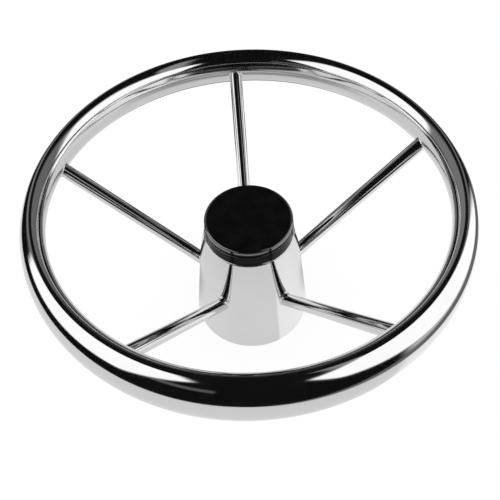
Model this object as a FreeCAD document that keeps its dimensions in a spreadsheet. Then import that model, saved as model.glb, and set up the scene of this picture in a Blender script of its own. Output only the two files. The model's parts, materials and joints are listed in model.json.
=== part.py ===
import FreeCAD, Part
import math
import os
import Sketcher
from FreeCAD import Placement, Rotation, Vector

# Dished five-spoke steering wheel for a boat: a polished stainless hoop of oval tube, five round
# bars rising to it from a bell-shaped hub, a keyed taper boss inside the hub for the helm shaft,
# and a black moulded cap snapped into the hub's mouth.
# The frame: origin at the centre of the hub's foot, +Z up the shaft axis, first spoke towards +Y.

doc = FreeCAD.newDocument("steering_wheel")
sizes = doc.addObject("Spreadsheet::Sheet", "Sizes")

# Driving dimensions, in millimetres and degrees.
DIMENSIONS = [
    ("wheel_diameter", 343.0, "over the outside of the rim, 13 1/2 in"),
    ("rim_lean", 18.5, "lean of the rim tube's oval section, its top towards the hub"),
    ("rim_outer_reach", 8.5, "from the middle of the oval across to its outer flank"),
    ("rim_outer_flank", 33.2, "radius of the outer flank"),
    ("rim_inner_reach", 9.4, "from the middle of the oval across to its inner flank"),
    ("rim_inner_flank", 38.0, "radius of the inner flank"),
    ("rim_top_round", 3.2, "radius of the oval's top"),
    ("rim_shoulder_round", 11.2, "radius between the top and the inner flank"),
    ("rim_shoulder_turn", 164, "turn from the outer flank to where the inner flank starts"),
    ("rim_foot_round", 4.2, "radius of the oval's lower end"),
    ("rim_wall", 1.5, "rim tube wall"),
    ("rim_height", 148.6, "centre of the rim section above the hub's foot"),
    ("spoke_count", 5, "number of spokes"),
    ("first_spoke", 90.0, "direction of the first spoke, from +X"),
    ("spoke_diameter", 11.1, "round bar, 7/16 in"),
    ("spoke_height", 53.1, "where a spoke's centre line meets the hub wall"),
    ("spoke_tail", 6.0, "bar passing inside the hub wall, and inside the rim tube"),
    ("spoke_chamfer", 0.8, "on the hidden ends of a spoke"),
    ("hole_clearance", 0.05, "all round a spoke in its hole"),
    ("weld_radius", 1.6, "polished weld fillet round a spoke"),
    ("hub_foot_radius", 51.8, "hub wall at its foot, outside"),
    ("hub_break_radius", 44.0, "hub wall where the cone runs into the curve above"),
    ("hub_break_height", 68.0, "height of that place"),
    ("hub_top_radius", 37.0, "hub wall at its top, outside, before it is rounded"),
    ("hub_height", 107.0, "flat lip of the hub under the cap"),
    ("hub_wall", 1.6, "pressed sheet"),
    ("hub_shoulder", 2.2, "radius of the hub's rounded top edge, outside"),
    ("hub_foot_round", 0.5, "radius of the hub's broken foot edges"),
    ("mouth_radius", 30.0, "opening in the hub's top lip"),
    ("plate_height", 64.0, "underside of the plate that carries the boss"),
    ("plate_thickness", 3.0, "that plate"),
    ("plate_clearance", 0.2, "round the plate, and round the boss's neck"),
    ("plate_weld", 2.5, "leg of the weld between plate and hub wall"),
    ("boss_radius", 17.0, "turned boss, outside"),
    ("boss_neck", 15.0, "radius of the neck that passes through the plate"),
    ("boss_foot", 12.0, "lower end of the boss above the hub's foot"),
    ("boss_neck_height", 8.0, "nut face of the boss above the plate's underside"),
    ("boss_chamfer", 1.0, "on the boss's outer edges"),
    ("boss_weld", 2.0, "leg of the weld between plate and boss"),
    ("shaft_diameter", 19.05, "large end of the taper bore, 3/4 in"),
    ("taper_ratio", 12.0, "length in which the taper bore narrows by one, on the diameter"),
    ("key_width", 6.35, "keyway, 1/4 in"),
    ("key_depth", 2.4, "keyway beyond the bore's large end"),
    ("cap_radius", 36.0, "upper disc of the cap"),
    ("cap_height", 15.4, "edge of the cap's face above the hub's lip"),
    ("cap_crown", 0.7, "rise of the cap's face at its centre"),
    ("cap_edge", 1.8, "radius of the cap's rounded edge"),
    ("cap_wall", 2.4, "moulding thickness of the cap"),
    ("collar_radius", 36.3, "lower tier of the cap"),
    ("collar_height", 8.9, "lower tier of the cap above the hub's lip"),
    ("collar_edge", 0.5, "radius of the lower tier's rounded edge"),
    ("groove_height", 0.9, "shadow line between the two tiers"),
    ("groove_depth", 0.8, "shadow line, in from the upper disc"),
    ("skirt_clearance", 0.25, "between the cap's skirt and the hub's mouth"),
    ("skirt_wall", 1.8, "moulding thickness of the cap's skirt"),
    ("skirt_length", 7.0, "skirt below the hub's lip"),
    ("snap_clearance", 0.2, "between the snap bead and the underside of the lip"),
    ("snap_height", 1.6, "sloping top of the snap bead"),
    ("snap_reach", 0.7, "snap bead beyond the edge of the mouth"),
    ("slot_count", 8, "slots that part the skirt into fingers"),
    ("slot_width", 2.4, "each of those slots"),
]
for row, (name, size, note) in enumerate(DIMENSIONS, start=1):
    sizes.set("A%d" % row, name)
    sizes.set("B%d" % row, str(size))
    sizes.set("C%d" % row, note)
    sizes.setAlias("B%d" % row, name)
doc.recompute()

FULL_TURN = 360
UPRIGHT = Vector(0, 0, 1)
# Rim and hub are turned from this plane, so that the closing line of the turned surface lies
# between two spokes.
SEAM_PLANE = "YZ_Plane"
# A sketch's origin and upright axis, and the points of a line or curve in it.
ORIGIN = -1
UPRIGHT_AXIS = -2
START, END, CENTRE = range(1, 4)
# Lengths nearer than this count as the same where an edge is looked up by its size.
TOUCH = 1e-3
SPOKES = range(1, int(sizes.spoke_count) + 1)

# What several sub-parts share, worked out on the sheet. A half section through the shaft axis is
# drawn as radius across and height up.
# The rim's oval has a middle, and its flanks are centred across from it, square to the lean.
OUTER_BACK = "(Sizes.rim_outer_flank - Sizes.rim_outer_reach)"
INNER_BACK = "(Sizes.rim_inner_flank - Sizes.rim_inner_reach)"
RIM_RADIUS = ("(Sizes.wheel_diameter / 2 - Sizes.rim_outer_flank + %s * cos(Sizes.rim_lean))"
              % OUTER_BACK)
HUB_SLOPE = "((Sizes.hub_foot_radius - Sizes.hub_break_radius) / Sizes.hub_break_height)"


def hub_outside(height):
    """Radius of the hub's cone, outside, at a height."""
    return "(Sizes.hub_foot_radius - %s * (%s))" % (HUB_SLOPE, height)


def hub_inside(height):
    """Radius of the hub's cone, inside, at a height."""
    return "(%s - Sizes.hub_wall * sqrt(1 + %s^2))" % (hub_outside(height), HUB_SLOPE)


SPOKE_FOOT = hub_outside("Sizes.spoke_height")
SPOKE_RUN = "(%s - %s)" % (RIM_RADIUS, SPOKE_FOOT)
SPOKE_RISE = "(Sizes.rim_height - Sizes.spoke_height)"
SPOKE_SPAN = "sqrt(%s^2 + %s^2)" % (SPOKE_RUN, SPOKE_RISE)
SPOKE_SLOPE = "atan2(%s; %s)" % (SPOKE_RISE, SPOKE_RUN)
# From the middle of the rim's oval to its inner flank, along a spoke.
OVAL_TURN = "(%s - Sizes.rim_lean * 1 deg)" % SPOKE_SLOPE
OVAL_REACH = ("(sqrt(Sizes.rim_inner_flank^2 - (%s * sin(%s))^2) - %s * cos(%s))"
              % (INNER_BACK, OVAL_TURN, INNER_BACK, OVAL_TURN))
BAR_RADIUS = "(Sizes.spoke_diameter / 2)"
HOLE_RADIUS = "(Sizes.spoke_diameter / 2 + Sizes.hole_clearance)"


def value(expression):
    """The present value of an expression, as a plain number."""
    result = sizes.evalExpression(expression)
    return float(getattr(result, "Value", result))


def new_body(label):
    """An empty solid of the document."""
    body = doc.addObject("PartDesign::Body", label)
    body.Label = label
    return body


def own(body, role):
    """One of a body's own planes or axes."""
    return next(item for item in body.Origin.OriginFeatures if item.Role == role)


def new_sketch(body, name, role="XZ_Plane"):
    """A sketch on one of a body's own planes; by default a half section."""
    sketch = body.newObject("Sketcher::SketchObject", name)
    sketch.AttachmentSupport = [(own(body, role), "")]
    sketch.MapMode = "FlatFace"
    return sketch


def hold(sketch, name, expression, kind, *where):
    """A dimension in a sketch, bound to the sheet."""
    size = value(expression)
    if kind == "Angle":
        size = math.radians(size)
    index = sketch.addConstraint(Sketcher.Constraint(kind, *where, size))
    sketch.renameConstraint(index, name)
    sketch.setExpression("Constraints." + name, expression)


def pin(sketch, name, geometry, point, across, up):
    """Holds a point of a sketch at a place across and up from the sketch's origin."""
    hold(sketch, name + "_across", across, "DistanceX", ORIGIN, START, geometry, point)
    hold(sketch, name + "_up", up, "DistanceY", ORIGIN, START, geometry, point)


def crown(edge, peak):
    """An arc centred on the shaft axis, from an edge up to a peak on that axis."""
    rise = peak.y - edge.y
    radius = (edge.x ** 2 + rise ** 2) / (2 * rise)
    half_turn = math.asin(edge.x / radius) / 2
    middle = peak + Vector(math.sin(half_turn), math.cos(half_turn) - 1, 0) * radius
    return Part.Arc(edge, middle, peak)


def outline(sketch, places, crowned=False):
    """A closed outline through places given as across and up, of straight lines. On a crowned
    piece the first side is an arc, from the edge of its face to the shaft axis."""
    points = [Vector(value(across), value(up), 0) for across, up in places]
    sides = [Part.LineSegment(point, following)
             for point, following in zip(points, points[1:] + points[:1])]
    if crowned:
        sides[0] = crown(points[0], points[1])
    lines = [sketch.addGeometry(side) for side in sides]
    if crowned:
        sketch.addConstraint(
            Sketcher.Constraint("PointOnObject", lines[0], CENTRE, UPRIGHT_AXIS))
    for line, following in zip(lines, lines[1:] + lines[:1]):
        sketch.addConstraint(Sketcher.Constraint("Coincident", line, END, following, START))
    for number, (line, (across, up)) in enumerate(zip(lines, places)):
        pin(sketch, "corner%d" % number, line, START, across, up)


def revolve(body, sketch, name, axis="V_Axis", kind="PartDesign::Revolution"):
    """Turns a sketch about the shaft axis, or about a line of its own."""
    feature = body.newObject(kind, name)
    feature.Profile = sketch
    feature.ReferenceAxis = (sketch, [axis])
    feature.Angle = FULL_TURN
    doc.recompute()
    return feature


def repeat(body, feature, count, name):
    """Repeats a cut evenly round the shaft axis."""
    pattern = body.newObject("PartDesign::PolarPattern", name)
    pattern.Originals = [feature]
    pattern.Axis = (own(body, "Z_Axis"), [""])
    pattern.Angle = FULL_TURN
    pattern.setExpression("Occurrences", count)
    body.Tip = pattern
    doc.recompute()
    return pattern


def rings(shape, radius, height):
    """Names of the round edges of a radius that lie flat at a height. The pole of a crowned face
    is an edge with no length, and is passed over."""
    names = []
    for number, edge in enumerate(shape.Edges, start=1):
        if edge.Degenerated:
            continue
        curve = edge.Curve
        if (curve.TypeId == "Part::GeomCircle" and abs(curve.Radius - radius) < TOUCH
                and abs(curve.Center.z - height) < TOUCH):
            names.append("Edge%d" % number)
    return names


def dress(body, base, edges, kind, name, size):
    """Rounds or chamfers named edges of a body's last feature."""
    feature = body.newObject("PartDesign::" + kind, name)
    feature.Base = (base, edges)
    feature.setExpression("Radius" if kind == "Fillet" else "Size", size)
    doc.recompute()
    return feature


def turn(item, angle):
    """Sets an item round the shaft axis, at an angle bound to the sheet."""
    item.Placement = Placement(Vector(), Rotation(UPRIGHT, FULL_TURN / 2))
    item.setExpression("Placement.Rotation.Angle", angle)


def spoke_angle(number):
    """Direction of a spoke, from +X."""
    return "Sizes.first_spoke + %d * %d / Sizes.spoke_count" % (number - 1, FULL_TURN)


def bearing(centre, place):
    """Direction from a centre to a place, round from across."""
    return math.atan2(place.y - centre.y, place.x - centre.x)


def polar(centre, radius, direction):
    """A place at a distance and direction from a centre."""
    return centre + Vector(math.cos(direction), math.sin(direction), 0) * radius


def apart(centre, distance, other, other_distance):
    """The place at given distances from two centres, on the left from the first to the second."""
    between = (other - centre).Length
    along = (distance ** 2 - other_distance ** 2 + between ** 2) / (2 * between)
    turn = math.acos(along / distance)
    return polar(centre, distance, bearing(centre, other) + turn)


def oval(sketch, name, inset):
    """The rim tube's oval, leaning towards the hub, drawn smaller by an inset: five arcs, each
    running smoothly into the next."""
    lean = math.radians(value("Sizes.rim_lean"))
    middle = Vector(value(RIM_RADIUS), value("Sizes.rim_height"), 0)
    sides = ["outer_flank", "top_round", "shoulder_round", "inner_flank", "foot_round"]
    radii = [value("Sizes.rim_" + side) for side in sides]
    outer_radius, top_radius, shoulder_radius, inner_radius, foot_radius = radii
    outer = polar(middle, -value(OUTER_BACK), lean)
    inner = polar(middle, value(INNER_BACK), lean)
    shoulder_end = lean + math.radians(value("Sizes.rim_shoulder_turn"))
    shoulder = polar(inner, inner_radius - shoulder_radius, shoulder_end)
    top = apart(outer, outer_radius - top_radius, shoulder, shoulder_radius - top_radius)
    foot = apart(inner, inner_radius - foot_radius, outer, outer_radius - foot_radius)
    centres = [outer, top, shoulder, inner, foot]
    ends = [bearing(outer, top), bearing(shoulder, top), shoulder_end, bearing(inner, foot),
            bearing(outer, foot)]
    arcs = []
    for centre, radius, first, last in zip(centres, radii, ends[-1:] + ends[:-1], ends):
        circle = Part.Circle(centre, UPRIGHT, radius - value(inset))
        arcs.append(sketch.addGeometry(Part.ArcOfCircle(circle, first, last)))
    for arc, following in zip(arcs, arcs[1:] + arcs[:1]):
        sketch.addConstraint(Sketcher.Constraint("Tangent", arc, END, following, START))
    for arc, side in zip(arcs, sides):
        hold(sketch, name + "_" + side, "Sizes.rim_%s - %s" % (side, inset), "Radius", arc)
    place = "%s * %s(Sizes.rim_lean)"
    pin(sketch, name + "_outer", arcs[0], CENTRE,
        RIM_RADIUS + " - " + place % (OUTER_BACK, "cos"),
        "Sizes.rim_height - " + place % (OUTER_BACK, "sin"))
    pin(sketch, name + "_inner", arcs[3], CENTRE,
        RIM_RADIUS + " + " + place % (INNER_BACK, "cos"),
        "Sizes.rim_height + " + place % (INNER_BACK, "sin"))
    hold(sketch, name + "_shoulder_end", "Sizes.rim_height + %s + (Sizes.rim_inner_flank - %s)"
         " * sin(Sizes.rim_lean + Sizes.rim_shoulder_turn)" % (place % (INNER_BACK, "sin"), inset),
         "DistanceY", ORIGIN, START, arcs[3], START)


def bar_section(body, name, near, far, radius):
    """Half section of a bar or hole on a spoke's centre line, between two distances from the
    middle of the rim's oval. The centre line is the sketch's own axis."""
    sketch = new_sketch(body, name)
    foot = Vector(value(SPOKE_FOOT), value("Sizes.spoke_height"), 0)
    head = Vector(value(RIM_RADIUS), value("Sizes.rim_height"), 0)
    along = (foot - head).normalize()
    across = Vector(-along.y, along.x, 0) * value(radius)
    first, last = head + along * value(near), head + along * value(far)
    line = sketch.addGeometry(Part.LineSegment(foot, head), True)
    pin(sketch, "foot", line, START, SPOKE_FOOT, "Sizes.spoke_height")
    pin(sketch, "head", line, END, RIM_RADIUS, "Sizes.rim_height")
    corners = [first, last, last + across, first + across]
    sides = [sketch.addGeometry(Part.LineSegment(corner, following))
             for corner, following in zip(corners, corners[1:] + corners[:1])]
    for side, following in zip(sides, sides[1:] + sides[:1]):
        sketch.addConstraint(Sketcher.Constraint("Coincident", side, END, following, START))
    for side, following in zip(sides, sides[1:]):
        sketch.addConstraint(Sketcher.Constraint("Perpendicular", side, following))
    sketch.addConstraint(Sketcher.Constraint("PointOnObject", sides[0], START, line))
    sketch.addConstraint(Sketcher.Constraint("PointOnObject", sides[0], END, line))
    hold(sketch, "near", near, "Distance", line, END, sides[0], START)
    hold(sketch, "length", "(%s) - (%s)" % (far, near), "Distance", sides[0])
    hold(sketch, "radius", radius, "Distance", sides[1])
    return sketch


def rim_form(body):
    """The rim as a full bar, for fitting the welds."""
    sketch = new_sketch(body, body.Label + "_section", SEAM_PLANE)
    oval(sketch, "outside", "0")
    revolve(body, sketch, body.Label + "_turned")


def bell(body):
    """The hub as a full bell, without its wall: a cone that runs into a gentle curve, and a
    rounded top edge."""
    sketch = new_sketch(body, body.Label + "_section", SEAM_PLANE)
    corner = [Vector(0, 0, 0),
              Vector(value("Sizes.hub_foot_radius"), 0, 0),
              Vector(value("Sizes.hub_break_radius"), value("Sizes.hub_break_height"), 0),
              Vector(value("Sizes.hub_top_radius"), value("Sizes.hub_height"), 0),
              Vector(0, value("Sizes.hub_height"), 0)]
    # The curve leaves the cone in line with it, so its centre is square to the cone.
    inward = Vector(corner[1].y - corner[2].y, corner[2].x - corner[1].x, 0).normalize()
    chord = corner[3] - corner[2]
    centre = corner[2] + inward * (chord.dot(chord) / (2 * chord.dot(inward)))
    halfway = ((corner[2] + corner[3]) / 2 - centre).normalize()
    middle = centre + halfway * (corner[2] - centre).Length
    foot = sketch.addGeometry(Part.LineSegment(corner[0], corner[1]))
    cone = sketch.addGeometry(Part.LineSegment(corner[1], corner[2]))
    curve = sketch.addGeometry(Part.Arc(corner[2], middle, corner[3]))
    top = sketch.addGeometry(Part.LineSegment(corner[3], corner[4]))
    axis = sketch.addGeometry(Part.LineSegment(corner[4], corner[0]))
    sketch.addConstraint(Sketcher.Constraint("Coincident", foot, START, ORIGIN, START))
    sketch.addConstraint(Sketcher.Constraint("Horizontal", foot))
    sketch.addConstraint(Sketcher.Constraint("Horizontal", top))
    sketch.addConstraint(Sketcher.Constraint("Vertical", axis))
    sketch.addConstraint(Sketcher.Constraint("Coincident", foot, END, cone, START))
    sketch.addConstraint(Sketcher.Constraint("Tangent", cone, END, curve, START))
    sketch.addConstraint(Sketcher.Constraint("Coincident", curve, END, top, START))
    sketch.addConstraint(Sketcher.Constraint("Coincident", top, END, axis, START))
    sketch.addConstraint(Sketcher.Constraint("Coincident", axis, END, foot, START))
    hold(sketch, "foot_radius", "Sizes.hub_foot_radius", "Distance", foot)
    pin(sketch, "break", cone, END, "Sizes.hub_break_radius", "Sizes.hub_break_height")
    pin(sketch, "top", curve, END, "Sizes.hub_top_radius", "Sizes.hub_height")
    turned = revolve(body, sketch, body.Label + "_turned")
    edge = rings(turned.Shape, value("Sizes.hub_top_radius"), value("Sizes.hub_height"))
    return dress(body, turned, edge, "Fillet", body.Label + "_shoulder", "Sizes.hub_shoulder")


def make_rim():
    """The hoop: a leaning oval tube, with a hole in its inner side for each spoke."""
    body = new_body("rim")
    section = new_sketch(body, "rim_section", SEAM_PLANE)
    oval(section, "outside", "0")
    oval(section, "inside", "Sizes.rim_wall")
    revolve(body, section, "rim_tube")
    hole = bar_section(body, "rim_hole_section", "Sizes.rim_wall",
                       OVAL_REACH + " + Sizes.spoke_diameter", HOLE_RADIUS)
    cut = revolve(body, hole, "rim_hole", "Axis0", "PartDesign::Groove")
    repeat(body, cut, "Sizes.spoke_count", "rim_holes")
    turn(body, "Sizes.first_spoke")
    return body


def make_spoke(number):
    """A round bar that passes through the hub wall and into the rim tube."""
    body = new_body("spoke_%d" % number)
    section = bar_section(body, body.Label + "_section", OVAL_REACH + " - Sizes.spoke_tail",
                          SPOKE_SPAN + " + Sizes.spoke_tail", BAR_RADIUS)
    bar = revolve(body, section, body.Label + "_bar", "Axis0")
    ends = ["Edge%d" % index for index, edge in enumerate(bar.Shape.Edges, start=1)
            if edge.Curve.TypeId == "Part::GeomCircle"]
    dress(body, bar, ends, "Chamfer", body.Label + "_ends", "Sizes.spoke_chamfer")
    turn(body, spoke_angle(number))
    return body


def make_hub_shell():
    """The pressed bell: one wall all over, a mouth in its lip and a hole for each spoke."""
    body = new_body("hub_shell")
    solid = bell(body)
    floor = next("Face%d" % index for index, face in enumerate(solid.Shape.Faces, start=1)
                 if face.Surface.TypeId == "Part::GeomPlane" and face.CenterOfMass.z < TOUCH)
    shell = body.newObject("PartDesign::Thickness", "hub_wall")
    shell.Base = (solid, [floor])
    shell.Reversed = True
    shell.setExpression("Value", "Sizes.hub_wall")
    doc.recompute()
    circle = new_sketch(body, "hub_mouth_circle", "XY_Plane")
    mouth = circle.addGeometry(Part.Circle(Vector(), UPRIGHT, value("Sizes.mouth_radius")))
    circle.addConstraint(Sketcher.Constraint("Coincident", mouth, CENTRE, ORIGIN, START))
    hold(circle, "mouth", "Sizes.mouth_radius", "Radius", mouth)
    opening = body.newObject("PartDesign::Pocket", "hub_mouth")
    opening.Profile = circle
    opening.Type = "ThroughAll"
    opening.Reversed = True
    doc.recompute()
    feet = [name for radius in (value("Sizes.hub_foot_radius"), value(hub_inside("0")))
            for name in rings(opening.Shape, radius, 0)]
    foot = dress(body, opening, feet, "Fillet", "hub_foot", "Sizes.hub_foot_round")
    hole = bar_section(body, "hub_hole_section", SPOKE_SPAN + " - Sizes.spoke_diameter",
                       SPOKE_SPAN + " + Sizes.spoke_diameter", HOLE_RADIUS)
    cut = revolve(body, hole, "hub_hole", "Axis0", "PartDesign::Groove")
    repeat(body, cut, "Sizes.spoke_count", "hub_holes")
    turn(body, "Sizes.first_spoke")
    return body


def make_hub_plate():
    """The disc inside the bell that carries the boss."""
    body = new_body("hub_plate")
    top = "Sizes.plate_height + Sizes.plate_thickness"
    bore = "Sizes.boss_neck + Sizes.plate_clearance"
    edge = hub_inside(top) + " - Sizes.plate_clearance"
    section = new_sketch(body, "hub_plate_section")
    outline(section, [(bore, "Sizes.plate_height"), (edge, "Sizes.plate_height"),
                      (edge, top), (bore, top)])
    revolve(body, section, "hub_plate_disc")
    return body


def make_hub_boss():
    """The turned boss: taper bore and keyway for the helm shaft, a shoulder under the plate."""
    body = new_body("hub_boss")
    mouth = "Sizes.shaft_diameter / 2"
    nut_face = "(Sizes.plate_height + Sizes.boss_neck_height)"
    throat = "%s - (%s - Sizes.boss_foot) / Sizes.taper_ratio / 2" % (mouth, nut_face)
    section = new_sketch(body, "hub_boss_section")
    outline(section, [(mouth, "Sizes.boss_foot"), ("Sizes.boss_radius", "Sizes.boss_foot"),
                      ("Sizes.boss_radius", "Sizes.plate_height"),
                      ("Sizes.boss_neck", "Sizes.plate_height"),
                      ("Sizes.boss_neck", nut_face), (throat, nut_face)])
    turned = revolve(body, section, "hub_boss_turned")
    corners = (rings(turned.Shape, value("Sizes.boss_radius"), value("Sizes.boss_foot"))
               + rings(turned.Shape, value("Sizes.boss_neck"), value(nut_face)))
    dress(body, turned, corners, "Chamfer", "hub_boss_corners", "Sizes.boss_chamfer")
    key = new_sketch(body, "keyway_section", "XY_Plane")
    reach = mouth + " + Sizes.key_depth"
    outline(key, [("0", "-Sizes.key_width / 2"), (reach, "-Sizes.key_width / 2"),
                  (reach, "Sizes.key_width / 2"), ("0", "Sizes.key_width / 2")])
    keyway = body.newObject("PartDesign::Pocket", "keyway")
    keyway.Profile = key
    keyway.Type = "ThroughAll"
    keyway.Reversed = True
    doc.recompute()
    turn(body, "Sizes.first_spoke")
    return body


def make_weld_ring(label, corners):
    """A weld that runs round the shaft axis, as a triangle between the pieces it joins."""
    body = new_body(label)
    section = new_sketch(body, label + "_section")
    outline(section, corners)
    revolve(body, section, label + "_run")
    return body


def make_centre_cap():
    """The moulded cap: a crowned disc over a lower tier, hollow beneath, with a fingered skirt
    that snaps under the lip of the hub."""
    body = new_body("centre_cap")
    lip = "Sizes.hub_height"
    rim_edge = lip + " + Sizes.cap_height"
    ceiling = rim_edge + " - Sizes.cap_wall"
    collar_top = lip + " + Sizes.collar_height"
    disc_foot = collar_top + " + Sizes.groove_height"
    groove = "Sizes.cap_radius - Sizes.groove_depth"
    skirt = "Sizes.mouth_radius - Sizes.skirt_clearance"
    under_lip = lip + " - Sizes.hub_wall - Sizes.snap_clearance"
    snap_foot = under_lip + " - Sizes.snap_height"
    skirt_foot = lip + " - Sizes.skirt_length"
    seat = "Sizes.collar_radius - Sizes.cap_wall"
    snap = "Sizes.mouth_radius + Sizes.snap_reach"
    inside = skirt + " - Sizes.skirt_wall"
    section = new_sketch(body, "cap_section")
    outline(section, [("Sizes.cap_radius", rim_edge), ("0", rim_edge + " + Sizes.cap_crown"),
                      ("0", ceiling), (inside, ceiling), (inside, skirt_foot),
                      (skirt, skirt_foot), (snap, snap_foot), (snap, under_lip),
                      (skirt, under_lip), (skirt, ceiling), (seat, ceiling), (seat, lip),
                      ("Sizes.collar_radius", lip), ("Sizes.collar_radius", collar_top),
                      (groove, collar_top), (groove, disc_foot),
                      ("Sizes.cap_radius", disc_foot)], crowned=True)
    turned = revolve(body, section, "cap_turned")
    collar = rings(turned.Shape, value("Sizes.collar_radius"), value(collar_top))
    tier = dress(body, turned, collar, "Fillet", "cap_collar_edge", "Sizes.collar_edge")
    face = rings(tier.Shape, value("Sizes.cap_radius"), value(rim_edge))
    dress(body, tier, face, "Fillet", "cap_face_edge", "Sizes.cap_edge")
    slot = new_sketch(body, "slot_section")
    outline(slot, [("%s - Sizes.skirt_wall" % inside, "%s - Sizes.skirt_wall" % skirt_foot),
                   ("%s + Sizes.skirt_wall" % snap, "%s - Sizes.skirt_wall" % skirt_foot),
                   ("%s + Sizes.skirt_wall" % snap, lip + " - Sizes.hub_wall / 2"),
                   ("%s - Sizes.skirt_wall" % inside, lip + " - Sizes.hub_wall / 2")])
    cut = body.newObject("PartDesign::Pocket", "skirt_slot")
    cut.Profile = slot
    cut.SideType = "Symmetric"
    cut.setExpression("Length", "Sizes.slot_width")
    doc.recompute()
    repeat(body, cut, "Sizes.slot_count", "skirt_slots")
    turn(body, "Sizes.first_spoke")
    return body


def make_welds(kind, form):
    """A neat fillet round each spoke where it meets the rim or the hub: the two are joined, the
    corner between them is rounded, and what the rounding added is the weld."""
    bar = doc.addObject("Part::Cylinder", kind + "_bar_form")
    bar.setExpression("Radius", BAR_RADIUS)
    bar.setExpression("Height", SPOKE_SPAN)
    bar.Placement = Placement(Vector(), Rotation(Vector(0, 1, 0), FULL_TURN / 4))
    bar.setExpression("Placement.Base.x", SPOKE_FOOT)
    bar.setExpression("Placement.Base.z", "Sizes.spoke_height")
    bar.setExpression("Placement.Rotation.Angle", "90 deg - " + SPOKE_SLOPE)
    joint = doc.addObject("Part::Fuse", kind + "_joint_form")
    joint.Base = form
    joint.Tool = bar
    doc.recompute()
    line = bar.Placement.Rotation.multVec(UPRIGHT)
    seam = []
    for index, edge in enumerate(joint.Shape.Edges, start=1):
        offsets = [(vertex.Point - bar.Placement.Base).cross(line).Length
                   for vertex in edge.Vertexes]
        middle = edge.valueAt((edge.FirstParameter + edge.LastParameter) / 2)
        offsets.append((middle - bar.Placement.Base).cross(line).Length)
        along = (middle - bar.Placement.Base).dot(line)
        round_edge = edge.Curve.TypeId in ("Part::GeomCircle", "Part::GeomLine")
        if max(abs(offset - value(BAR_RADIUS)) for offset in offsets) < TOUCH and not round_edge:
            seam.append((index, value("Sizes.weld_radius"), value("Sizes.weld_radius")))
    rounded = doc.addObject("Part::Fillet", kind + "_rounded_form")
    rounded.Base = joint
    rounded.Edges = seam
    doc.recompute()
    welds = []
    for number in SPOKES:
        weld = doc.addObject("Part::Cut", "%s_%d" % (kind, number))
        weld.Label = weld.Name
        weld.Base = rounded
        weld.Tool = joint
        turn(weld, spoke_angle(number))
        welds.append(weld)
    return welds


parts = [make_rim(), make_hub_shell(), make_hub_plate(), make_hub_boss(), make_centre_cap()]
parts += [make_spoke(number) for number in SPOKES]
parts.append(make_weld_ring("plate_weld", [
    (hub_inside("Sizes.plate_height") + " - Sizes.plate_weld", "Sizes.plate_height"),
    (hub_inside("Sizes.plate_height - Sizes.plate_weld"), "Sizes.plate_height - Sizes.plate_weld"),
    (hub_inside("Sizes.plate_height"), "Sizes.plate_height")]))
PLATE_TOP = "Sizes.plate_height + Sizes.plate_thickness"
parts.append(make_weld_ring("boss_weld", [
    ("Sizes.boss_neck", PLATE_TOP), ("Sizes.boss_neck + Sizes.boss_weld", PLATE_TOP),
    ("Sizes.boss_neck", PLATE_TOP + " + Sizes.boss_weld")]))
rim_block = new_body("rim_block")
rim_form(rim_block)
hub_block = new_body("hub_block")
bell(hub_block)
parts += make_welds("rim_weld", rim_block)
parts += make_welds("hub_weld", hub_block)
doc.recompute()

for item in doc.Objects:
    if "Invalid" in item.State or "Error" in item.State:
        raise RuntimeError("%s did not build: %s" % (item.Label, item.State))
for part in parts:
    if part.Shape.isNull() or not part.Shape.isValid() or len(part.Shape.Solids) != 1:
        raise RuntimeError("%s is not one sound solid" % part.Label)

os.makedirs("parts", exist_ok=True)
for part in parts:
    part.Shape.exportStep("parts/%s.step" % part.Label)
    print("%-14s %10.1f mm3" % (part.Label, part.Shape.Volume))
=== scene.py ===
import json
import math

import bmesh
import bpy
from mathutils import Matrix, Vector


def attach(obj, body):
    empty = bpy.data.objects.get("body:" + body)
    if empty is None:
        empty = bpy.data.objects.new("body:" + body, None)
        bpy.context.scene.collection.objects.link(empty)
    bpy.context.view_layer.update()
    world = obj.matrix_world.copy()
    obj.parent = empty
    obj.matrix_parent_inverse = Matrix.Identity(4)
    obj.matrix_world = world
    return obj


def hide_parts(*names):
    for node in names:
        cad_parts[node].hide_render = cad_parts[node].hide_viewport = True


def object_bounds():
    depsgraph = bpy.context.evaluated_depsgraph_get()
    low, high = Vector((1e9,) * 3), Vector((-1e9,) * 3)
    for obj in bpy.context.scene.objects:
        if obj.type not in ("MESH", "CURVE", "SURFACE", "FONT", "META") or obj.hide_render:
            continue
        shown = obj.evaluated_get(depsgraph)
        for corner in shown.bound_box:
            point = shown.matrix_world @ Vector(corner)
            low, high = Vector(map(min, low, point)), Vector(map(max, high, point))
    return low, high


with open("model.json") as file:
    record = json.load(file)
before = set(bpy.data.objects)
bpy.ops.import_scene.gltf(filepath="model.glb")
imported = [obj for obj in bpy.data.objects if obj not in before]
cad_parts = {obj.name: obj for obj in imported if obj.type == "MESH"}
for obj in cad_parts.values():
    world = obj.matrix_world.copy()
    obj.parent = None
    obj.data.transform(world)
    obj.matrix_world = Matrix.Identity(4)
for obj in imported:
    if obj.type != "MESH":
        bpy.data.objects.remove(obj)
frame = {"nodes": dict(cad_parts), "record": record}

# A dished boat steering wheel: mirror-polished stainless rim, spokes and hub, and a gloss black
# cap. It stands on its hub on a white table in plain soft light, before a white background. The
# steel mirrors a studio with two softboxes and dark walls.
# Lengths are in metres. Angles are in degrees, but for the rim's section, which is worked out in
# radians. +Z is the shaft axis, and the first spoke is at +Y.

cad_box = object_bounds()
nodes = frame["nodes"]
MM = 0.001
FULL_TURN = 360
WHITE = (1, 1, 1, 1)

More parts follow.
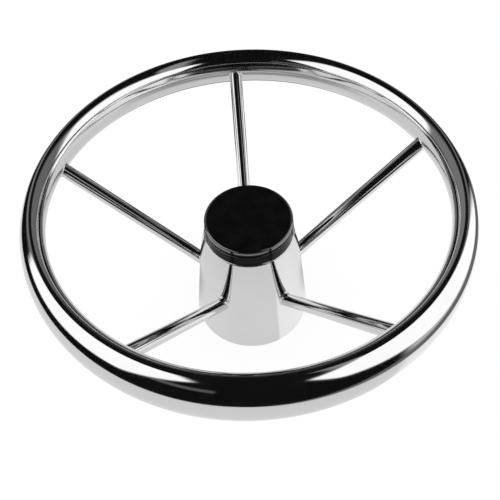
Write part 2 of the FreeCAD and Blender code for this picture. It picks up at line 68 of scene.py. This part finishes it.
# The rim: an oval tube whose top leans towards the hub. Its section is five arcs that run into
# each other. The flanks are centred across from the middle of the oval, square to the lean.
RIM_HEIGHT = 148.6 * MM
RIM_LEAN = math.radians(18.5)
OUTER_FLANK = 33.2 * MM
OUTER_REACH = 8.5 * MM
INNER_FLANK = 38.0 * MM
INNER_REACH = 9.4 * MM
TOP_ROUND = 3.2 * MM
SHOULDER_ROUND = 11.2 * MM
SHOULDER_TURN = math.radians(164)
FOOT_ROUND = 4.2 * MM
RIM_RADIUS = (cad_box[1].x - OUTER_FLANK
              + (OUTER_FLANK - OUTER_REACH) * math.cos(RIM_LEAN))
# The polished inner side is a little flatter than the arcs, and meets the outer side in a softer
# turn. Round the section, these are what the arcs face and what the polished surface faces.
POLISH = [(110, 110), (137, 143), (145, 146.7), (152, 152), (171.2, 163.3), (173, 169),
          (186, 174), (212, 204), (234, 234)]
RIM_SEGMENTS = 720
# Along an arc of the section: the longest step, and the widest turn between two points.
ARC_STEP = 1.0 * MM
ARC_TURN = math.radians(4)

# The cap: a crowned disc over a lower tier, with a shadow line between them, hollow beneath, and
# a skirt in the hub's mouth.
LIP = 107.0 * MM
CAP_RADIUS = 36.0 * MM
CAP_FACE = 122.4 * MM
CAP_CROWN = 0.7 * MM
CAP_EDGE = 3.0 * MM
CAP_WALL = 2.4 * MM
COLLAR_RADIUS = 36.3 * MM
COLLAR_TOP = 115.9 * MM
COLLAR_EDGE = 0.9 * MM
GROOVE_TOP = 116.8 * MM
GROOVE_EDGE = 0.4 * MM
GROOVE_RADIUS = 35.2 * MM
SKIRT_OUTSIDE = 29.75 * MM
SKIRT_INSIDE = 27.95 * MM
SKIRT_FOOT = 100.0 * MM
CAP_SEGMENTS = 360
CROWN_STEPS = 24
CORNER_STEPS = 12
# Faces of the cap that meet at more than this turn have a crisp edge between them.
SHARP = 40

# The camera, seen from the centre of the rim.
CAMERA_DISTANCE = 446.6 * MM
CAMERA_ELEVATION = 47.98
CAMERA_AZIMUTH = -2.01
CAMERA_PITCH = -5.42
CAMERA_ROLL = -2.78
CAMERA_LENS = 41.98
CAMERA_SENSOR = 36.0

# How fine the noise is, and how it is spread out between the two values that it mixes.
MOTTLE_DETAIL = 3.0
MOTTLE_LOW = 0.3
MOTTLE_HIGH = 0.7
# Polished steel: tone and roughness vary in patches, in smudges and in fine polishing rings.
STEEL_COLOUR = (0.705, 0.70, 0.70)
STEEL_PATCH = 40 * MM
STEEL_TONE = (0.985, 1.015)
STEEL_RING = 1.2 * MM
STEEL_RING_TONE = (0.99, 1.01)
STEEL_SMUDGE = 15 * MM
STEEL_ROUGHNESS = (0.05, 0.075)
STEEL_RING_ROUGHNESS = (0.0, 0.015)
# Machined steel: turned rings and a duller face.
MACHINED_COLOUR = (0.60, 0.59, 0.58)
MACHINED_TONE = (0.93, 1.05)
MACHINED_ROUGHNESS = (0.22, 0.38)
TOOL_RING = 0.5 * MM
TOOL_RING_DEPTH = 0.01 * MM
# Black plastic: nearly black, with faint smudges and a grain that only shows from close by.
PLASTIC_COLOUR = (0.003, 0.003, 0.0032)
PLASTIC_SMUDGE = 12 * MM
PLASTIC_TONE = (0.6, 1.4)
PLASTIC_ROUGHNESS = (0.16, 0.26)
PLASTIC_SPECULAR = 0.05
PLASTIC_GRAIN = 0.4 * MM
PLASTIC_GRAIN_DEPTH = 0.002 * MM
# Lacquer covers the cap's face and its rounded edge, down to between these depths below the
# face, and the lower tier's edge.
LACQUER_DEPTH = (4.0 * MM, 3.0 * MM)
LACQUER_ROUGHNESS = 0.06
LACQUER_IOR = 2.5

# The light and the table. The table glows, and a little paint lets it take the wheel's shadow.
BACKGROUND = 1.0
SOFT_LIGHT = 1.0
TABLE_RADIUS = 0.45
TABLE_SEGMENTS = 128
TABLE_GLOW = 0.90
TABLE_PAINT = 0.12
# The table as mirrors show it has painted light and shade: tones by the direction round a place
# before the shaft axis, from +X, and painted shade that dims it beyond a distance from there.
PAINTED_LIGHT_PLACE = (0, -30 * MM, 0)
TABLE_PAINTED_LIGHT = [(-180, 0.80), (-152, 0.78), (-128, 0.77), (-40, 0.77), (-36, 1.02), (0, 1.02),
               (40, 0.86), (90, 0.72), (135, 0.76), (180, 0.80)]
PAINTED_DIM_AFAR = 0.92
PAINTED_DIM_AFAR_DISTANCE = (40 * MM, 180 * MM)
# A soft painted shadow lies round the shaft axis behind the hub. As mirrors show it, the table is
# painted dark far behind the wheel, and on the right beyond a distance from a place.
SHADOW = 0.6
SHADOW_RING = (100 * MM, 55 * MM)
SHADOW_BEHIND = (-10 * MM, 30 * MM)
TABLE_PAINTED_DARK = 0.04
PAINTED_DARK_BEHIND = (190 * MM, 240 * MM)
PAINTED_DARK_PLACE = (-80 * MM, -50 * MM, 0)
PAINTED_DARK_DISTANCE = (385 * MM, 405 * MM)
# The studio that mirrors show. Its walls are dark.
WALL = 0.004
# What shines or glimmers there: its strength, and its corners in order round it. A corner is a
# direction as seen from the wheel, round the shaft axis from +X and above the horizon, and the
# softness of the side that follows it.
STUDIO = {
    "left_softbox": (1.38, [(-117, 22, 1.5), (-149, -9, 1.5), (180, -12, 1.5), (160, -14, 3),
                           (158, 31, 3), (-128, 32, 3)]),
    "right_softbox": (1.38, [(-72, 20, 1.5), (-60, 3, 1.5), (-47, -14, 2), (-10, -23, 2),
                            (42, -31, 4), (6, 27, 4), (-10, 30, 3), (-50, 27, 3)]),
    "card": (0.32, [(-62, 26, 2), (-47, 24, 2), (-42, 44, 2), (-50, 60, 6), (-62, 58, 4)]),
    "strip": (0.12, [(-141, 4, 1), (-108, 3, 1), (-108, 9, 1), (-141, 9, 1)]),
    "spill": (0.6, [(-30, -25, 5), (18, -30, 10), (16, 30, 6), (-30, 30, 5)]),
    "back_left": (0.22, [(98, -2, 8), (165, -2, 8), (165, 34, 8), (98, 34, 8)]),
    "back_right": (0.17, [(12, -2, 8), (76, -2, 8), (76, 34, 8), (12, 34, 8)]),
    "back": (0.05, [(60, -2, 6), (120, -2, 6), (120, 32, 6), (60, 32, 6)]),
}


def link_node(tree, kind, inputs=(), **settings):
    """Adds a node, with settings and with inputs given as numbers, colours or sockets."""
    node = tree.nodes.new(kind)
    for name, setting in settings.items():
        setattr(node, name, setting)
    for key, given in dict(inputs).items():
        if isinstance(given, bpy.types.NodeSocket):
            tree.links.new(given, node.inputs[key])
        else:
            node.inputs[key].default_value = given
    return node


def calc(tree, operation, *terms):
    """A Math node's result."""
    return link_node(tree, "ShaderNodeMath", enumerate(terms), operation=operation).outputs[0]


def fade(tree, value, start, end):
    """Nothing up to the start, one from the end on, and a smooth change between. The start may be
    above the end."""
    inputs = {"Value": value, "From Min": start, "From Max": end}
    return link_node(tree, "ShaderNodeMapRange", inputs, interpolation_type="SMOOTHSTEP").outputs[0]


def between(tree, share, start, end):
    """A value on the way from start to end."""
    return link_node(tree, "ShaderNodeMix", {"Factor": share, "A": start, "B": end},
                     data_type="FLOAT").outputs[0]


def measure(tree, operation, *places):
    """The length, distance or dot product that a Vector Math node gives."""
    return link_node(tree, "ShaderNodeVectorMath", enumerate(places),
                     operation=operation).outputs["Value"]


def object_place(tree):
    """A place on the object, and its parts along the axes."""
    place = link_node(tree, "ShaderNodeTexCoord").outputs["Object"]
    return place, link_node(tree, "ShaderNodeSeparateXYZ", {"Vector": place}).outputs


def new_material(name):
    """A node material with its tree and its shader."""
    material = bpy.data.materials.new(name)
    material.use_nodes = True
    tree = material.node_tree
    return material, tree, tree.nodes["Principled BSDF"]


def towards(azimuth, elevation):
    """A direction from its angles."""
    level = math.cos(math.radians(elevation))
    return Vector((level * math.cos(math.radians(azimuth)),
                   level * math.sin(math.radians(azimuth)), math.sin(math.radians(elevation))))


def studio_light(tree, direction, strength, corners):
    """How much something in the studio shines from a direction: it lies inside all the planes
    through the wheel and two neighbouring corners."""
    points = [towards(azimuth, elevation) for azimuth, elevation, softness in corners]
    middle = sum(points, Vector())
    shine = strength
    for point, following, corner in zip(points, points[1:] + points[:1], corners):
        across = point.cross(following).normalized()
        if across.dot(middle) < 0:
            across.negate()
        soft = math.sin(math.radians(corner[2]))
        inside = measure(tree, "DOT_PRODUCT", direction, across)
        shine = calc(tree, "MULTIPLY", shine, fade(tree, inside, -soft, soft))
    return shine


def mirrored(tree):
    """One for what shows in a mirror or through glass, and otherwise nothing."""
    path = link_node(tree, "ShaderNodeLightPath").outputs
    return calc(tree, "MAXIMUM", path["Is Glossy Ray"], path["Is Transmission Ray"])


def make_world():
    """White behind the object and plain soft light on it, with the studio for mirrors to show."""
    world = bpy.data.worlds.new("studio")
    bpy.context.scene.world = world
    world.use_nodes = True
    tree = world.node_tree
    tree.nodes.clear()
    direction = link_node(tree, "ShaderNodeTexCoord").outputs["Generated"]
    studio = WALL
    for strength, corners in STUDIO.values():
        studio = calc(tree, "MAXIMUM", studio,
                      studio_light(tree, direction, strength, corners))
    seen = link_node(tree, "ShaderNodeLightPath").outputs["Is Camera Ray"]
    level = between(tree, mirrored(tree), between(tree, seen, SOFT_LIGHT, BACKGROUND), studio)
    shine = link_node(tree, "ShaderNodeBackground", {"Color": WHITE, "Strength": level})
    out = link_node(tree, "ShaderNodeOutputWorld")
    tree.links.new(shine.outputs[0], out.inputs["Surface"])


def mirrored_table(tree):
    """How bright the table shows in mirrors, with painted light and shade, a painted shadow behind
    the hub and painted dark far off.
    """
    place, parts = object_place(tree)
    offset = link_node(tree, "ShaderNodeVectorMath", {0: place, 1: PAINTED_LIGHT_PLACE},
                       operation="SUBTRACT").outputs[0]
    spot = link_node(tree, "ShaderNodeSeparateXYZ", {"Vector": offset}).outputs
    turn = calc(tree, "ARCTAN2", spot["Y"], spot["X"])
    # Painted light and shade on the table, by direction round a place before the shaft axis.
    ramp = link_node(tree, "ShaderNodeValToRGB",
                     {"Fac": calc(tree, "MULTIPLY_ADD", turn, 1 / math.radians(FULL_TURN), 0.5)})
    stops = ramp.color_ramp.elements
    while len(stops) < len(TABLE_PAINTED_LIGHT):
        stops.new(0.5)
    for stop, (direction, tone) in zip(stops, TABLE_PAINTED_LIGHT):
        stop.position = direction / FULL_TURN + 0.5
        stop.color = (tone, tone, tone, 1)
    # Painted shade: the table dims beyond a distance from that place.
    painted_dim = fade(tree, measure(tree, "LENGTH", offset), *PAINTED_DIM_AFAR_DISTANCE)
    tone = calc(tree, "MULTIPLY", ramp.outputs["Color"],
                calc(tree, "MULTIPLY_ADD", painted_dim, PAINTED_DIM_AFAR - 1, 1))
    # A painted shadow round the shaft axis behind the hub.
    near = fade(tree, measure(tree, "LENGTH", place), *SHADOW_RING)
    shadow = calc(tree, "MULTIPLY", calc(tree, "MULTIPLY", near, SHADOW),
                  fade(tree, parts["Y"], *SHADOW_BEHIND))
    # Painted dark far behind the wheel, and on the right beyond a distance from a place.
    dark = calc(tree, "MAXIMUM", shadow, fade(tree, parts["Y"], *PAINTED_DARK_BEHIND))
    from_dark_place = measure(tree, "DISTANCE", place, PAINTED_DARK_PLACE)
    dark = calc(tree, "MAXIMUM", dark, fade(tree, from_dark_place, *PAINTED_DARK_DISTANCE))
    return between(tree, dark, tone, TABLE_PAINTED_DARK)


def make_table():
    """A round white table that takes the wheel's shadow."""
    mesh = bpy.data.meshes.new("table")
    form = bmesh.new()
    bmesh.ops.create_circle(form, cap_ends=True, segments=TABLE_SEGMENTS, radius=TABLE_RADIUS)
    form.to_mesh(mesh)
    form.free()
    table = bpy.data.objects.new("table", mesh)
    bpy.context.scene.collection.objects.link(table)
    material, tree, shader = new_material("table_white")
    shader.inputs["Base Color"].default_value = (TABLE_PAINT, TABLE_PAINT, TABLE_PAINT, 1)
    shader.inputs["Roughness"].default_value = 1.0
    shader.inputs["Specular IOR Level"].default_value = 0.0
    shader.inputs["Emission Color"].default_value = WHITE
    glow = between(tree, mirrored(tree), TABLE_GLOW, mirrored_table(tree))
    tree.links.new(glow, shader.inputs["Emission Strength"])
    mesh.materials.append(material)


def make_camera():
    """The photograph's view, from in front and above."""
    data = bpy.data.cameras.new("camera")
    data.lens = CAMERA_LENS
    data.sensor_width = CAMERA_SENSOR
    camera = bpy.data.objects.new("camera", data)
    bpy.context.scene.collection.objects.link(camera)
    bpy.context.scene.camera = camera
    elevation = math.radians(CAMERA_ELEVATION)
    side = Matrix.Rotation(math.radians(CAMERA_AZIMUTH), 4, "Z")
    away = Vector((0, -math.cos(elevation), math.sin(elevation))) * CAMERA_DISTANCE
    tilt = Matrix.Rotation(math.radians(90 - CAMERA_ELEVATION + CAMERA_PITCH), 4, "X")
    roll = Matrix.Rotation(math.radians(CAMERA_ROLL), 4, "Z")
    place = Matrix.Translation(Vector((0, 0, RIM_HEIGHT)) + side @ away)
    camera.matrix_world = place @ side @ tilt @ roll


def mottle(tree, place, size, low, high):
    """A soft irregular change between two values, with blotches of about a size."""
    noise = link_node(tree, "ShaderNodeTexNoise",
                      {"Vector": place, "Scale": 1 / size, "Detail": MOTTLE_DETAIL})
    inputs = {"Value": noise.outputs["Fac"], "From Min": MOTTLE_LOW, "From Max": MOTTLE_HIGH,
              "To Min": low, "To Max": high}
    return link_node(tree, "ShaderNodeMapRange", inputs).outputs[0]


def ring_place(tree, parts):
    """A place as radius and height, so that a texture made with it runs in rings."""
    flat = link_node(tree, "ShaderNodeCombineXYZ", {"X": parts["X"], "Y": parts["Y"]})
    radius = measure(tree, "LENGTH", flat.outputs[0])
    return link_node(tree, "ShaderNodeCombineXYZ", {"X": radius, "Z": parts["Z"]}).outputs[0]


def tint(tree, shader, colour, level):
    """A base colour whose lightness follows a level."""
    scaled = link_node(tree, "ShaderNodeVectorMath", {0: colour, "Scale": level},
                       operation="SCALE").outputs[0]
    tree.links.new(scaled, shader.inputs["Base Color"])


def bumps(tree, shader, height, depth):
    """Fine relief, from a height between nothing and one."""
    bump = link_node(tree, "ShaderNodeBump", {"Height": height, "Distance": depth})
    tree.links.new(bump.outputs[0], shader.inputs["Normal"])


def polished_steel():
    """Mirror-polished stainless: faint polishing rings, handling smudges and uneven tone."""
    material, tree, shader = new_material("polished_steel")
    place, parts = object_place(tree)
    rings = ring_place(tree, parts)
    tone = calc(tree, "MULTIPLY", mottle(tree, place, STEEL_PATCH, *STEEL_TONE),
                mottle(tree, rings, STEEL_RING, *STEEL_RING_TONE))
    tint(tree, shader, STEEL_COLOUR, tone)
    shader.inputs["Metallic"].default_value = 1.0
    gloss = calc(tree, "ADD", mottle(tree, place, STEEL_SMUDGE, *STEEL_ROUGHNESS),
                 mottle(tree, rings, STEEL_RING, *STEEL_RING_ROUGHNESS))
    tree.links.new(gloss, shader.inputs["Roughness"])
    return material


def machined_steel():
    """Turned and ground stainless: tool rings, and a duller mottled surface."""
    material, tree, shader = new_material("machined_steel")
    place, parts = object_place(tree)
    rings = ring_place(tree, parts)
    tint(tree, shader, MACHINED_COLOUR,
         calc(tree, "MULTIPLY", mottle(tree, place, STEEL_PATCH, *MACHINED_TONE),
              mottle(tree, rings, TOOL_RING, *MACHINED_TONE)))
    shader.inputs["Metallic"].default_value = 1.0
    gloss = mottle(tree, rings, TOOL_RING, *MACHINED_ROUGHNESS)
    tree.links.new(gloss, shader.inputs["Roughness"])
    bumps(tree, shader, mottle(tree, rings, TOOL_RING, 0, 1), TOOL_RING_DEPTH)
    return material


def black_plastic():
    """Gloss black moulding: a lacquered face and edges over satin sides, with a fine grain."""
    material, tree, shader = new_material("black_plastic")
    place, parts = object_place(tree)
    tint(tree, shader, PLASTIC_COLOUR, mottle(tree, place, PLASTIC_SMUDGE, *PLASTIC_TONE))
    shader.inputs["Specular IOR Level"].default_value = PLASTIC_SPECULAR
    tree.links.new(mottle(tree, place, PLASTIC_SMUDGE, *PLASTIC_ROUGHNESS),
                   shader.inputs["Roughness"])
    height = parts["Z"]
    lacquer = fade(tree, height, CAP_FACE - LACQUER_DEPTH[0], CAP_FACE - LACQUER_DEPTH[1])
    edge = calc(tree, "ABSOLUTE", calc(tree, "SUBTRACT", height, COLLAR_TOP))
    lacquer = calc(tree, "MAXIMUM", lacquer, fade(tree, edge, COLLAR_EDGE, 0))
    tree.links.new(lacquer, shader.inputs["Coat Weight"])
    shader.inputs["Coat Roughness"].default_value = LACQUER_ROUGHNESS
    shader.inputs["Coat IOR"].default_value = LACQUER_IOR
    bumps(tree, shader, mottle(tree, place, PLASTIC_GRAIN, 0, 1), PLASTIC_GRAIN_DEPTH)
    return material


def lathe(name, profile, segments, closed, facing=()):
    """A smooth turned surface from a profile of points given as radius and height. What it faces
    at each point can be given as a direction."""
    form = bmesh.new()
    columns = []
    for step in range(segments):
        turn = Matrix.Rotation(2 * math.pi * step / segments, 3, "Z")
        columns.append([form.verts.new(turn @ Vector((radius, 0, height)))
                        for radius, height in profile])
    count = len(profile)
    for column, following in zip(columns, columns[1:] + columns[:1]):
        for index in range(count if closed else count - 1):
            after = (index + 1) % count
            form.faces.new((column[index], following[index], following[after], column[after]))
    bmesh.ops.recalc_face_normals(form, faces=form.faces)
    mesh = bpy.data.meshes.new(name)
    form.to_mesh(mesh)
    form.free()
    mesh.shade_smooth()
    if facing:
        outward = [Vector((math.cos(direction), 0, math.sin(direction))) for direction in facing]
        mesh.normals_split_custom_set_from_vertices(
            [Matrix.Rotation(2 * math.pi * step / segments, 3, "Z") @ normal
             for step in range(segments) for normal in outward])
    piece = bpy.data.objects.new(name, mesh)
    bpy.context.scene.collection.objects.link(piece)
    return piece


def polar(centre, radius, direction):
    """A place at a distance and direction from a centre."""
    return centre + Vector((math.cos(direction), math.sin(direction))) * radius


def bearing(centre, place):
    """Direction from a centre to a place."""
    return math.atan2(place.y - centre.y, place.x - centre.x)


def apart(centre, distance, other, other_distance):
    """The place at given distances from two centres, on the left from the first to the second."""
    between = (other - centre).length
    along = (distance ** 2 - other_distance ** 2 + between ** 2) / (2 * between)
    return polar(centre, distance, bearing(centre, other) + math.acos(along / distance))


def flatter(direction):
    """What the polished inner side of the rim faces, where its arcs face a direction."""
    turned = math.degrees(direction) % 360
    for (start, faced), (end, faced_next) in zip(POLISH, POLISH[1:]):
        if start <= turned < end:
            return math.radians(faced + (turned - start) * (faced_next - faced) / (end - start))
    return direction


def rim_profile():
    """The rim's section, as points given as radius and height, with the direction that the polish
    faces at each. The polished inner side is a little flatter than the arcs."""
    middle = Vector((RIM_RADIUS, RIM_HEIGHT))
    outer = polar(middle, OUTER_REACH - OUTER_FLANK, RIM_LEAN)
    inner = polar(middle, INNER_FLANK - INNER_REACH, RIM_LEAN)
    shoulder_end = RIM_LEAN + SHOULDER_TURN
    shoulder = polar(inner, INNER_FLANK - SHOULDER_ROUND, shoulder_end)
    top = apart(outer, OUTER_FLANK - TOP_ROUND, shoulder, SHOULDER_ROUND - TOP_ROUND)
    foot = apart(inner, INNER_FLANK - FOOT_ROUND, outer, OUTER_FLANK - FOOT_ROUND)
    arcs = [(outer, OUTER_FLANK, bearing(outer, top)),
            (top, TOP_ROUND, bearing(shoulder, top)),
            (shoulder, SHOULDER_ROUND, shoulder_end),
            (inner, INNER_FLANK, bearing(inner, foot)),
            (foot, FOOT_ROUND, bearing(outer, foot))]
    profile = []
    facing = []
    start = arcs[-1][2]
    for centre, radius, end in arcs:
        turn = (end - start) % (2 * math.pi)
        count = math.ceil(max(turn * radius / ARC_STEP, turn / ARC_TURN))
        directions = [start + turn * step / count for step in range(count)]
        profile += [polar(centre, radius, direction) for direction in directions]
        facing += [flatter(direction) for direction in directions]
        start = end
    return profile, facing


def make_rim(steel):
    """The hoop, as a fine smooth mesh for clean reflections."""
    profile, facing = rim_profile()
    rim = lathe("polished_rim", profile, RIM_SEGMENTS, True, facing)
    rim.data.materials.append(steel)
    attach(rim, "root")
    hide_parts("rim")


def round_corner(middle, radius, start, end):
    """Points round a corner, between two directions in degrees."""
    return [polar(middle, radius, math.radians(start + (end - start) * step / CORNER_STEPS))
            for step in range(CORNER_STEPS + 1)]


def make_cap(plastic):
    """The cap, with softly rounded edges for its highlights."""
    ceiling = CAP_FACE - CAP_WALL
    inside = COLLAR_RADIUS - CAP_WALL
    flat = CAP_RADIUS - CAP_EDGE
    profile = [Vector((flat * step / CROWN_STEPS,
                       CAP_FACE + CAP_CROWN * (1 - (step / CROWN_STEPS) ** 2)))
               for step in range(1, CROWN_STEPS)]
    profile += round_corner(Vector((flat, CAP_FACE - CAP_EDGE)), CAP_EDGE, 90, 0)
    profile += round_corner(Vector((CAP_RADIUS - GROOVE_EDGE, GROOVE_TOP + GROOVE_EDGE)),
                            GROOVE_EDGE, 0, -90)
    profile += [Vector((GROOVE_RADIUS, GROOVE_TOP)), Vector((GROOVE_RADIUS, COLLAR_TOP))]
    profile += round_corner(Vector((COLLAR_RADIUS - COLLAR_EDGE, COLLAR_TOP - COLLAR_EDGE)),
                            COLLAR_EDGE, 90, 0)
    profile += [Vector((COLLAR_RADIUS, LIP)), Vector((inside, LIP)), Vector((inside, ceiling)),
                Vector((SKIRT_OUTSIDE, ceiling)), Vector((SKIRT_OUTSIDE, SKIRT_FOOT)),
                Vector((SKIRT_INSIDE, SKIRT_FOOT)), Vector((SKIRT_INSIDE, ceiling))]
    cap = lathe("moulded_cap", profile, CAP_SEGMENTS, closed=False)
    form = bmesh.new()
    form.from_mesh(cap.data)
    bmesh.ops.holes_fill(form, edges=[edge for edge in form.edges if edge.is_boundary], sides=0)
    bmesh.ops.recalc_face_normals(form, faces=form.faces)
    form.to_mesh(cap.data)
    form.free()
    cap.data.shade_smooth()
    cap.data.set_sharp_from_angle(angle=math.radians(SHARP))
    cap.data.materials.append(plastic)
    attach(cap, "root")
    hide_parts("centre_cap")


def dress_nodes(steel, machined, plastic):
    """Gives the carried-over pieces their finish."""
    finishes = {"polished_stainless": steel, "machined_stainless": machined,
                "black_plastic": plastic}
    for part in frame["record"]["subparts"]:
        mesh = nodes[part["node"]].data
        mesh.materials.clear()
        mesh.materials.append(finishes[part["material_slot"]])


bpy.context.scene.view_settings.view_transform = "Standard"
make_world()
make_table()
make_camera()
steel = polished_steel()
plastic = black_plastic()
dress_nodes(steel, machined_steel(), plastic)
make_rim(steel)
make_cap(plastic)
